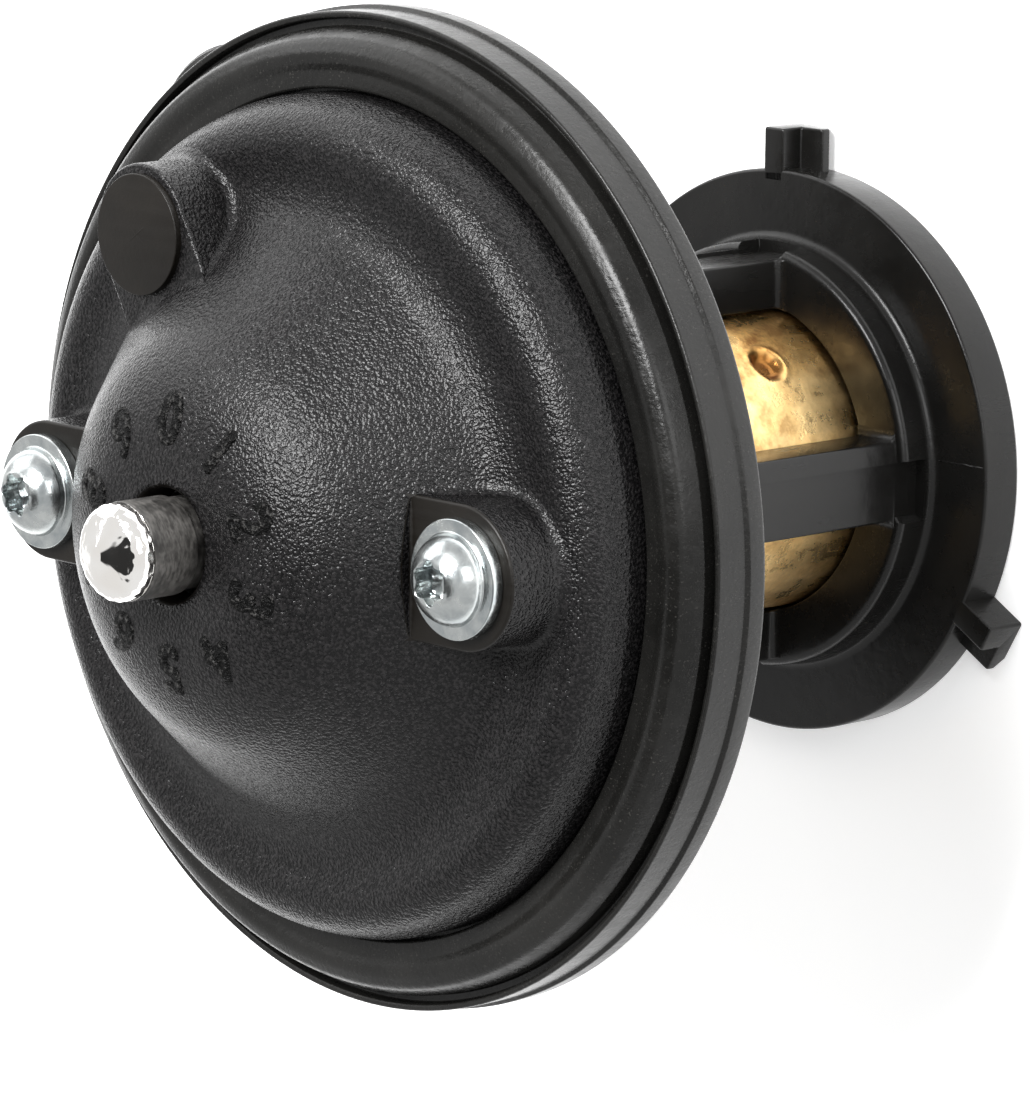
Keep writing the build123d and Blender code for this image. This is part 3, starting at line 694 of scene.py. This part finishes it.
def digitTree():
    sizes = [(name.capitalize(), "Float", digits[name] * mm) for name in ("ring", "size", "rise", "bead")]
    tree, given = newTree("numberRing", ("Cover", "Object", None), *sizes, ("Finish", "Material", None))
    ringOfText = put(tree, "GeometryNodeJoinGeometry")
    for order, character in enumerate(digits["text"]):
        turn = -2 * pi * order / len(digits["text"])
        text = result(
            tree, "GeometryNodeStringToCurves", {"String": character, "Size": given["Size"]},
            align_x="CENTER", align_y="MIDDLE", pivot_mode="MIDPOINT",
        )
        plain = result(tree, "GeometryNodeRealizeInstances", {"Geometry": text})
        out = result(tree, "ShaderNodeCombineXYZ", {1: given["Ring"]})
        moved = result(tree, "GeometryNodeTransform", {"Geometry": plain, "Translation": out})
        wires = {"Geometry": moved, "Rotation": (0, 0, turn)}
        tree.links.new(result(tree, "GeometryNodeTransform", wires), ringOfText.inputs[0])
    wires = {"Curve": ringOfText.outputs[0], "Length": digits["step"] * mm}
    fine = result(tree, "GeometryNodeResampleCurve", wires, mode="LENGTH")
    face = result(tree, "GeometryNodeFillCurve", {"Curve": fine}, mode="TRIANGLES")
    fineFace = result(tree, "GeometryNodeSubdivideMesh", {"Mesh": face, "Level": 2})
    section = result(tree, "GeometryNodeCurvePrimitiveCircle", {"Resolution": 8, "Radius": given["Bead"]})
    beads = result(tree, "GeometryNodeCurveToMesh", {"Curve": fine, "Profile Curve": section})
    lifted = result(tree, "ShaderNodeCombineXYZ", {2: given["Bead"]})
    topFace = result(tree, "GeometryNodeSetPosition", {"Geometry": fineFace, "Offset": lifted})
    both = put(tree, "GeometryNodeJoinGeometry")
    tree.links.new(topFace, both.inputs[0])
    tree.links.new(beads, both.inputs[0])
    place = put(tree, "ShaderNodeSeparateXYZ", {0: result(tree, "GeometryNodeInputPosition")}).outputs
    ray = digits["ray"] * mm
    above = result(tree, "ShaderNodeCombineXYZ", {0: place[0], 1: place[1], 2: ray})
    target = put(tree, "GeometryNodeObjectInfo", {"Object": given["Cover"]}).outputs["Geometry"]
    down = {"Source Position": above, "Ray Direction": (0, 0, -1), "Ray Length": ray}
    hit = put(tree, "GeometryNodeRaycast", {"Target Geometry": target, **down})
    ground = put(tree, "ShaderNodeSeparateXYZ", {0: hit.outputs["Hit Position"]}).outputs[2]
    low = calc(tree, "SUBTRACT", given["Rise"], given["Bead"])
    height = calc(tree, "ADD", calc(tree, "ADD", ground, place[2]), low)
    seated = result(tree, "ShaderNodeCombineXYZ", {0: place[0], 1: place[1], 2: height})
    laid = result(tree, "GeometryNodeSetPosition", {"Geometry": both.outputs[0], "Position": seated})
    closeTree(tree, laid, given["Finish"])
    return tree


numberRing = grown("numberRing", digitTree(), 60, Cover=frontCover, Finish=digitPlastic)
settle(numberRing, housing, "cover_plastic")
print("number ring done", len(numberRing.data.polygons))


# cage: flange with bayonet lugs, collar, four posts, hub, plate and screw bosses
cage = {
    "axis": 0, "base": 0, "flange": 25.6, "flangeTop": 4.2, "hole": 12.4, "bore": 14.2, "lip": 1.6,
    "collar": 19.3, "collarTop": 8.0, "baseRounds": [0.15, 0.3, 0.35, 0.9, 0, 0, 0.8, 0.25, 0.2, 0.15],
    "columns": 288, "facet": 1.5, "postEdge": 0.002,
    "tube": 18.6, "windowTop": 32.0, "taperFoot": 33.2, "hub": 20.6, "taperTop": 35.2, "plateRear": 49.6,
    "plate": 38.8, "plateFront": 52.8, "pocket": 17.0, "pocketFloor": 32.8,
    "hubRounds": [0.2, 0.3, 0.6, 0.8, 1.0, 0.4, 0.4, 0.3, 0.2, 0.2],
    "postHalf": 3.6, "flat": 18.2, "flatSide": 1.7, "notchStart": 5.22, "flatFoot": 5.3, "flatTop": 31.2,
    "sunk": 0.04, "slack": 0.01, "windowRound": 0.9, "rowStep": 0.5, "overlap": 0.35, "proud": 0.004,
    "buried": 0.3, "crease": 0.05, "creaseEdges": (-0.05, 0.02), "creaseSide": 0.9, "bendSteps": 7,
    "postRounds": [0.25, 0, 0, 0, 0.25, 0.2, 0, 0, 0, 0.2],
    "seamWidth": 0.09, "seamRise": 0.07, "seamStart": 0.6, "seamSpare": 1.0, "seamDrift": 0.07,
    "seamSteps": 24,
    "lugAngles": (90, 210, 330), "lugReach": 29.3, "lugFull": 2.45, "lugLow": -2.65, "lugLowTop": 1.9,
    "lugRamp": 1.0, "lugRampSide": -1.65, "lugRounds": [0.15, 0.25, 0.25, 0.25, 0.2, 0.25, 0.15],
    "lugCentre": (0.1, 1.6), "lugEnds": ((4.7, 0), (0.25, 0), (0.12, 0.03), (0.03, 0.11), (0, 0.25)),
    "boss": 5.0, "bossPlaces": (-26.6, 26.6), "bossFoot": 43.6, "bossTop": 56.0,
}


def cageAngles():
    angles = evenAngles(cage["columns"])
    for quarter in range(4):
        for across in (-cage["postHalf"], cage["flatSide"]):
            edge, gap = quarter * pi / 2 + asin(across / cage["flat"]), cage["postEdge"]
            angles = [angle for angle in angles if abs((angle - edge + pi) % tau - pi) > 3 * gap]
            angles += [(edge - gap) % tau, (edge + gap) % tau]
    return sorted(angles)


def notched(radius, angle, height):  # the flat on each post cuts down through the collar
    local = (angle + pi / 4) % (pi / 2) - pi / 4
    across = cage["flat"] * sin(local) / cos(local)
    if height > cage["flatFoot"] - cage["slack"] and -cage["postHalf"] < across < cage["flatSide"]:
        radius = min(radius, (cage["flat"] - cage["sunk"]) / cos(local))
    return (radius * cos(angle), radius * sin(angle), height)


def cageBase():
    outline = corners(
        cage,
        "hole base, flange base, flange flangeTop, collar flangeTop, collar notchStart, collar flatFoot,"
        "collar collarTop, bore collarTop, bore lip, hole lip",
    )
    path = roundPath(outline, cage["baseRounds"], 0.12, closed=True)
    path = finer(path + path[:1], cage["facet"], lambda r0, z0, r1, z1: z0 == z1)
    return lathe(path[:-1], cageAngles(), shape=notched)


def cageHub():
    outline = corners(
        cage,
        "bore windowTop, tube windowTop, tube taperFoot, hub taperTop, hub plateRear, plate plateRear,"
        "plate plateFront, pocket plateFront, pocket pocketFloor, bore pocketFloor",
    )
    return lathe(roundPath(outline, cage["hubRounds"], 0.2, closed=True), evenAngles(256))


def cagePost(turn):
    # from the notch in the collar up to the hub, flaring where it meets the rings
    low, high, curve = cage["collarTop"], cage["windowTop"], cage["windowRound"]
    side, tube, flat = cage["flatSide"], cage["tube"], cage["flat"]
    bend = [curve * (1 - cos(pi / 2 * part / cage["bendSteps"])) for part in range(cage["bendSteps"] + 1)]
    step, skim = cage["rowStep"], cage["slack"]
    straight = [curve + step * part for part in range(1, int((high - low - 2 * curve) / step))]
    rows = [cage["flatFoot"]] + [low + row for row in bend + straight] + [high - row for row in bend]
    rows = sorted(rows + [cage["flatTop"] - skim, cage["flatTop"] + skim, high + cage["overlap"]])
    matrix = Matrix.Rotation(turn, 2)
    outlines = []
    for height in rows:
        spare = min(curve, max(0.0, curve - min(height - low, high - height)))
        half = cage["postHalf"] + curve - sqrt(curve ** 2 - spare ** 2)
        jag = cage["crease"] * roughNoise((turn, height * 2.3, 0), (turn, height * 7.1, 3), 1)
        proud = cage["proud"] if height > high else 0.0
        inner = cage["bore"] + (cage["buried"] if height < low or height > high else 0.0)

        def onTube(across):
            return (sqrt((tube + proud) ** 2 - across ** 2), across)

        before, after = [side + edge for edge in cage["creaseEdges"]]
        if height < cage["flatTop"]:
            outer = [(flat, -half), (flat, before), (onTube(side)[0] + jag, after + jag)]
        else:
            outer = [onTube(-half), onTube(before), onTube(after)]
        outer += [onTube(side + cage["creaseSide"]), onTube(half)]
        back = [(sqrt(inner ** 2 - across ** 2), across) for across in (half, half / 2, 0, -half / 2, -half)]
        outline = roundPath(outer + back, cage["postRounds"], closed=True, fixedSteps=4)
        outlines.append([(*(matrix @ Vector(spot)), height) for spot in outline])
    return prism(outlines)


def cageSeam(turn):  # the moulds' parting line runs on over the flange
    matrix = Matrix.Rotation(turn, 2)
    wide, top = cage["seamWidth"], cage["flangeTop"]
    start, length = cage["collar"] + cage["seamStart"], cage["flange"] - cage["collar"] - cage["seamSpare"]
    outlines = []
    for part in range(cage["seamSteps"] + 1):
        reach = start + length * part / cage["seamSteps"]
        shift = cage["flatSide"] + cage["seamDrift"] * noise.noise((reach * 0.9, turn, 5))
        rise = cage["seamRise"] * (1 + 0.8 * noise.noise((reach * 3.1, turn, 9)))
        foot = top - cage["slack"]
        section = [(shift - wide, foot), (shift, top + rise), (shift + wide, foot)]
        outlines.append([(*(matrix @ Vector((reach, across))), height) for across, height in section])
    return prism(outlines)


def cageLug(angle):  # full height on one side and low on the other, with every edge rounded
    turn = Matrix.Rotation(radians(angle), 2)
    outline = corners(
        cage,
        "lugRampSide base, lugFull base, lugFull flangeTop, axis flangeTop, axis lugLowTop, lugLow lugLowTop,"
        "lugLow lugRamp",
    )
    outline = roundPath(outline, cage["lugRounds"], 0.1, closed=True)
    centre = Vector(cage["lugCentre"])
    outlines = []
    for back, inset in cage["lugEnds"]:
        level = []
        for point in outline:
            spot = Vector(point)
            spot += (centre - spot).normalized() * inset
            flat = turn @ Vector((cage["lugReach"] - back, spot.x))
            level.append((flat.x, flat.y, spot.y))
        outlines.append(level)
    return prism(outlines)


def cageBoss(place):
    outline = corners(cage, "axis bossFoot, boss bossFoot, boss bossTop, axis bossTop")
    points, faces = lathe(roundPath(outline, [0, 0.4, 0.2, 0], 0.15), evenAngles(64), closed=False)
    return [(x + place, y, z) for x, y, z in points], faces


cageParts = [
    cageBase(), cageHub(), *map(cagePost, evenAngles(4)), *map(cageSeam, evenAngles(2)),
    *map(cageLug, cage["lugAngles"]), *map(cageBoss, cage["bossPlaces"]),
]
cageBody = meshPiece("cageBody", *gather(cageParts), cagePlastic, 40)
settle(cageBody, housing, "cage_plastic", "cage")
print("cage done", len(cageBody.data.polygons))


# brass capsule, with a punched dimple near its closed end
capsule = {
    "axis": 0, "bottom": 1.6, "radius": 13.9, "shoulder": 33.8, "crimp": 16.5, "crimpTop": 38.8,
    "mouth": 13.6, "floor": 38.0, "inner": 13.0, "innerBottom": 2.5,
    "rounds": [0, 1.8, 0.5, 0.4, 0.8, 0.3, 0], "fine": 0.3, "fineWithin": 14, "skin": 0.4,
    "dimpleAngle": 47.2, "dimpleHeight": 15.4, "dimpleRadius": 1.6, "dimpleDepth": 0.8, "dimpleEdge": 1.08,
    "dimpleSlope": 0.4, "rimRise": 0.1, "rimAt": 1.2, "rimHalf": 0.25, "dents": 0.05, "dentScale": 0.22,
}
capsuleCorners = corners(
    capsule,
    "axis bottom, radius bottom, radius shoulder, crimp shoulder, crimp crimpTop, mouth crimpTop,"
    "mouth floor",
)
capsulePath = finer(
    roundPath(capsuleCorners, capsule["rounds"], 0.2), capsule["fine"],
    lambda r0, z0, r1, z1: abs(r0 - r1) < 0.01 and r0 < capsule["fineWithin"],
)
capsulePath += corners(capsule, "inner floor, inner innerBottom, axis innerBottom")
waxCapsule = turnedPiece("waxCapsule", capsulePath, capsuleBrass, 288)
for vertex in waxCapsule.data.vertices:
    x, y, z = vertex.co / mm
    radius = hypot(x, y)
    if radius < capsule["radius"] - capsule["skin"]:
        continue
    away = atan2(y, x) - radians(capsule["dimpleAngle"])
    reach = hypot(away * radius, z - capsule["dimpleHeight"]) / capsule["dimpleRadius"]
    depth = (capsule["dimpleEdge"] - reach) / capsule["dimpleSlope"]
    dent = capsule["dimpleDepth"] * max(0.0, min(1.0, depth))
    rim = capsule["rimRise"] * max(0.0, 1 - abs(reach - capsule["rimAt"]) / capsule["rimHalf"])
    wave = capsule["dents"] * noise.noise(Vector((x, y, z)) * capsule["dentScale"])
    vertex.co.xy *= (radius - dent + rim + wave) / radius
settle(waxCapsule, housing, "capsule_brass", "wax_capsule")
print("capsule done")


# piston with its steel nose, and the worn sleeve round it
rod = {
    "axis": 0, "bottom": 40.0, "shank": 2.6, "clipFoot": 51.7, "clipTop": 52.6, "clipGroove": 2.1,
    "head": 81.2, "nose": 4.17, "noseBase": 82.75, "tip": 84.1, "tipRadius": 0.6,
    "rounds": [0, 0.3, 0, 0, 0, 0, 0, 0.15, 1.5, 0.6, 0], "fine": 0.15, "slack": 0.1,
    "still": 0.3, "dents": 0.12,
    "bore": 2.65, "sleeve": 4.2, "neck": 3.95, "neckTop": 76.6, "sleeveFlange": 6.6, "flangeTop": 54.3,
    "sleeveRounds": [0, 0.2, 0.2, 0.3, 0, 0.1, 0.12, 0],
    "ragged": 0.16, "raggedDepth": 0.3, "raggedFrom": 3.5,
}
rodCorners = corners(
    rod,
    "axis bottom, shank bottom, shank clipFoot, clipGroove clipFoot, clipGroove clipTop, shank clipTop,"
    "shank head, nose head, nose noseBase, tipRadius tip, axis tip",
)
rodPath = finer(
    roundPath(rodCorners, rod["rounds"], 0.1), rod["fine"],
    lambda r0, z0, r1, z1: z0 > rod["head"] + rod["slack"],
)
pistonRod = turnedPiece("pistonRod", rodPath, noseSteel, 128, sharp=50)
for vertex in pistonRod.data.vertices:  # knocked about, most near the sleeve
    x, y, z = vertex.co / mm
    radius = hypot(x, y)
    if z > rod["head"] + rod["slack"] and radius > rod["still"]:
        blow = roughNoise((x * 0.9, y * 0.9, z * 0.6), (x * 2.1, y * 2.1, z * 1.4 + 7))
        share = radius / rod["nose"]
        vertex.co *= 1 - rod["dents"] * abs(blow) * share ** 2 / z
        vertex.co.xy *= 1 - rod["dents"] * abs(blow) * share ** 3 / radius
settle(pistonRod, plunger, "polished_steel", "piston")
sleeveCorners = corners(
    rod,
    "bore clipTop, sleeveFlange clipTop, sleeveFlange flangeTop, neck flangeTop, neck neckTop,"
    "sleeve neckTop, sleeve head, bore head",
)
sleevePath = roundPath(sleeveCorners, rod["sleeveRounds"], 0.06, closed=True)
pistonSleeve = turnedPiece("pistonSleeve", sleevePath, sleevePlastic, 144, closed=True)
for vertex in pistonSleeve.data.vertices:  # a rough edge against the steel
    x, y, z = vertex.co / mm
    if z > rod["head"] - rod["raggedDepth"] and hypot(x, y) > rod["raggedFrom"]:
        wear = roughNoise((x * 0.8, y * 0.8, 4), (x * 2.6, y * 2.6, 1))
        vertex.co.z -= rod["ragged"] * abs(wear) * mm
settle(pistonSleeve, plunger, "sleeve_plastic", "piston_sleeve")
print("piston done")


# cover screws: flanged button heads with a six-lobe drive
screw = {
    "place": 26.6, "axis": 0, "tip": 47.7, "tipRadius": 1.7, "shank": 2.5, "taper": 49.0, "seat": 67.7,
    "flange": 5.0, "flangeTop": 68.8, "head": 3.9, "waist": 3.78, "waistTop": 69.2,
    "rounds": [0, 0, 0, 0, 0.1, 0.12, 0.25, 0], "bulge": (3.15, 70.4), "crown": (1.4, 71.4), "domeSteps": 22,
    "domeGap": 0.05, "drive": 1.66, "lobe": 0.2, "turnLeft": 0.1, "turnRight": 0.45,
    "driveLand": 0.4, "driveLip": ((0.28, 0.08, 0.3), (0.14, 0.12, 0.8), (0.04, 0.08, 1), (0, -0.06, 1)),
    "driveEnd": 69.5, "driveFloor": ((-0.03, 0, 1), (-0.3, -0.12, 0.8)), "drivePoint": 0.4,
}


def screwRows():  # radius, height and how lobed; from the shank's end over the head into the drive
    outline = corners(
        screw,
        "axis tip, tipRadius tip, shank taper, shank seat, flange seat, flange flangeTop, head flangeTop,"
        "waist waistTop",
    )
    rows = roundPath(outline, screw["rounds"], 0.06)
    dome = arcThrough((screw["head"], screw["flangeTop"]), screw["bulge"], screw["crown"], screw["domeSteps"])
    start, land = rows[-1][1] + screw["domeGap"], screw["drive"] + screw["driveLand"]
    rows += [point for point in dome if start < point[1] and point[0] > land]
    top, deep = rows[-1][1], screw["driveEnd"]
    rows = [(*point, 0) for point in rows]
    rows += [(screw["drive"] + out, top + up, lobed) for out, up, lobed in screw["driveLip"]]
    rows += [(screw["drive"] + out, deep + up, lobed) for out, up, lobed in screw["driveFloor"]]
    return rows + [(0, deep - screw["drivePoint"], 0)]


for side, place in (("Left", -screw["place"]), ("Right", screw["place"])):
    coverScrew = turnedPiece(
        "coverScrew" + side, screwRows(), zincSteel, 144, sharp=42,
        Place=place * mm, Lobe=screw["lobe"] * mm, Turn=screw["turn" + side],
    )
    settle(coverScrew, housing, "zinc_steel", "cover_screw_" + side.lower())
print("screws done")


# return spring
spring = {"radius": 8.0, "wire": 1.6, "turns": 4.5, "foot": 55.3, "head": 72.3, "travel": 8.0}


def springTree():
    tree, given = newTree(
        "coilSpring",
        ("Radius", "Float", spring["radius"] * mm), ("Wire", "Float", spring["wire"] / 2 * mm),
        ("Turns", "Float", spring["turns"]), ("Height", "Float", 1.0 * mm), ("Foot", "Float", 1.0 * mm),
        ("Finish", "Material", None),
    )
    coil = result(tree, "GeometryNodeCurveSpiral", {
        "Resolution": 40, "Rotations": given["Turns"], "Height": given["Height"],
        "Start Radius": given["Radius"], "End Radius": given["Radius"],
    })
    section = result(tree, "GeometryNodeCurvePrimitiveCircle", {"Resolution": 16, "Radius": given["Wire"]})
    wires = {"Curve": coil, "Profile Curve": section, "Fill Caps": True}
    wire = result(tree, "GeometryNodeCurveToMesh", wires)
    foot = result(tree, "ShaderNodeCombineXYZ", {2: given["Foot"]})
    raised = result(tree, "GeometryNodeTransform", {"Geometry": wire, "Translation": foot})
    closeTree(tree, raised, given["Finish"])
    return tree


springLength = spring["head"] - spring["foot"]
coilSpring = grown(
    "coilSpring", springTree(), 50, Height=(springLength - spring["wire"]) * mm,
    Foot=(spring["foot"] + spring["wire"] / 2) * mm, Finish=springSteel,
)
settle(coilSpring, housing, "spring_steel", "return_spring")
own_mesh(coilSpring)
print("spring done")


# hidden pieces keep their solids and take a finish
inner = {
    "wax_charge": waxFill, "backup_disc": whitePlastic, "piston_guide": capsuleBrass,
    "diaphragm": innerRubber, "elastomer_plug": innerRubber, "piston_seal": innerRubber,
    "capsule_gasket": innerRubber, "snap_ring": springSteel, "piston_clip": springSteel,
    "spring_seat": springSteel, "spring_washer": springSteel,
}
for node, material in inner.items():
    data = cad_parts[node].data
    data.materials.clear()
    data.materials.append(material)


# floor, light and camera
def paleFloor(tree):
    return {"Roughness": spread(tree, grain(tree, 3, 2.0, 0.5), 0.75, 0.85)}


stage = {  # a white tent, open and darker straight in front of the nose
    "floorGlow": 0.3, "floorHalf": 4, "world": 0.82, "aim": (0, 0, 60),
    "opening": (-0.06, -0.18, 0.98), "openingGlow": 0.03, "openingEdge": (24, 20),
}
floorMaterial = finish(
    "floorMaterial", paleFloor,
    Base_Color=(0.93, 0.93, 0.93, 1), Emission_Color=(1, 1, 1, 1), Emission_Strength=stage["floorGlow"],
)
floorMesh = bpy.data.meshes.new("floor")
half = stage["floorHalf"]
square = [(-half, -half, 0), (half, -half, 0), (half, half, 0), (-half, half, 0)]
floorMesh.from_pydata(square, [], [(0, 1, 2, 3)])
floorMesh.materials.append(floorMaterial)
floor = placed("floor", floorMesh)

scene = bpy.context.scene
world = bpy.data.worlds.new("studio")
world.use_nodes = True
tent = world.node_tree
towards = put(tent, "ShaderNodeTexCoord").outputs["Generated"]
dots = {0: towards, 1: stage["opening"]}
facing = put(tent, "ShaderNodeVectorMath", dots, operation="DOT_PRODUCT").outputs["Value"]
edge = [cos(radians(angle)) for angle in stage["openingEdge"]]
glow = spread(tent, facing, stage["world"], stage["openingGlow"], *edge)
tent.nodes["Background"].inputs["Color"].default_value = (1, 1, 1, 1)
tent.links.new(glow, tent.nodes["Background"].inputs["Strength"])
scene.world = world

aim = Vector(stage["aim"]) * mm
lights = {
    "keySoft": {"place": (0.08, 0.45, 0.78), "size": (0.42, 0.42), "power": 17.0},
    "sideSoft": {"place": (0.85, 0.35, 0.50), "size": (0.5, 0.5), "power": 3.0},
    "backSoft": {"place": (-0.70, 0.60, 0.40), "size": (0.7, 0.7), "power": 3.5},
}
for name, light in lights.items():
    lamp = bpy.data.lights.new(name, "AREA")
    lamp.shape = "RECTANGLE"
    lamp.size, lamp.size_y = light["size"]
    lamp.energy = light["power"]
    holder = placed(name, lamp)
    holder.location = light["place"]
    holder.rotation_euler = (aim - holder.location).to_track_quat("-Z", "Y").to_euler()

view = {
    "eye": (0.396246, 0.096889, 0.408548), "right": (0.68302, 0.00912, -0.73034),
    "up": (-0.14095, 0.98277, -0.11955), "back": (0.71667, 0.18460, 0.67254),
    "lens": 207.33, "sensor": 36, "near": 0.01,
}
lens = bpy.data.cameras.new("camera")
lens.sensor_fit = "VERTICAL"
lens.sensor_height = view["sensor"]
lens.lens = view["lens"]
lens.clip_start = view["near"]
camera = placed("camera", lens)
axes = Matrix((view["right"], view["up"], view["back"])).transposed()
camera.matrix_world = Matrix.Translation(view["eye"]) @ axes.to_4x4()
scene.camera = camera
scene.view_settings.view_transform = "Standard"
print("stage done")
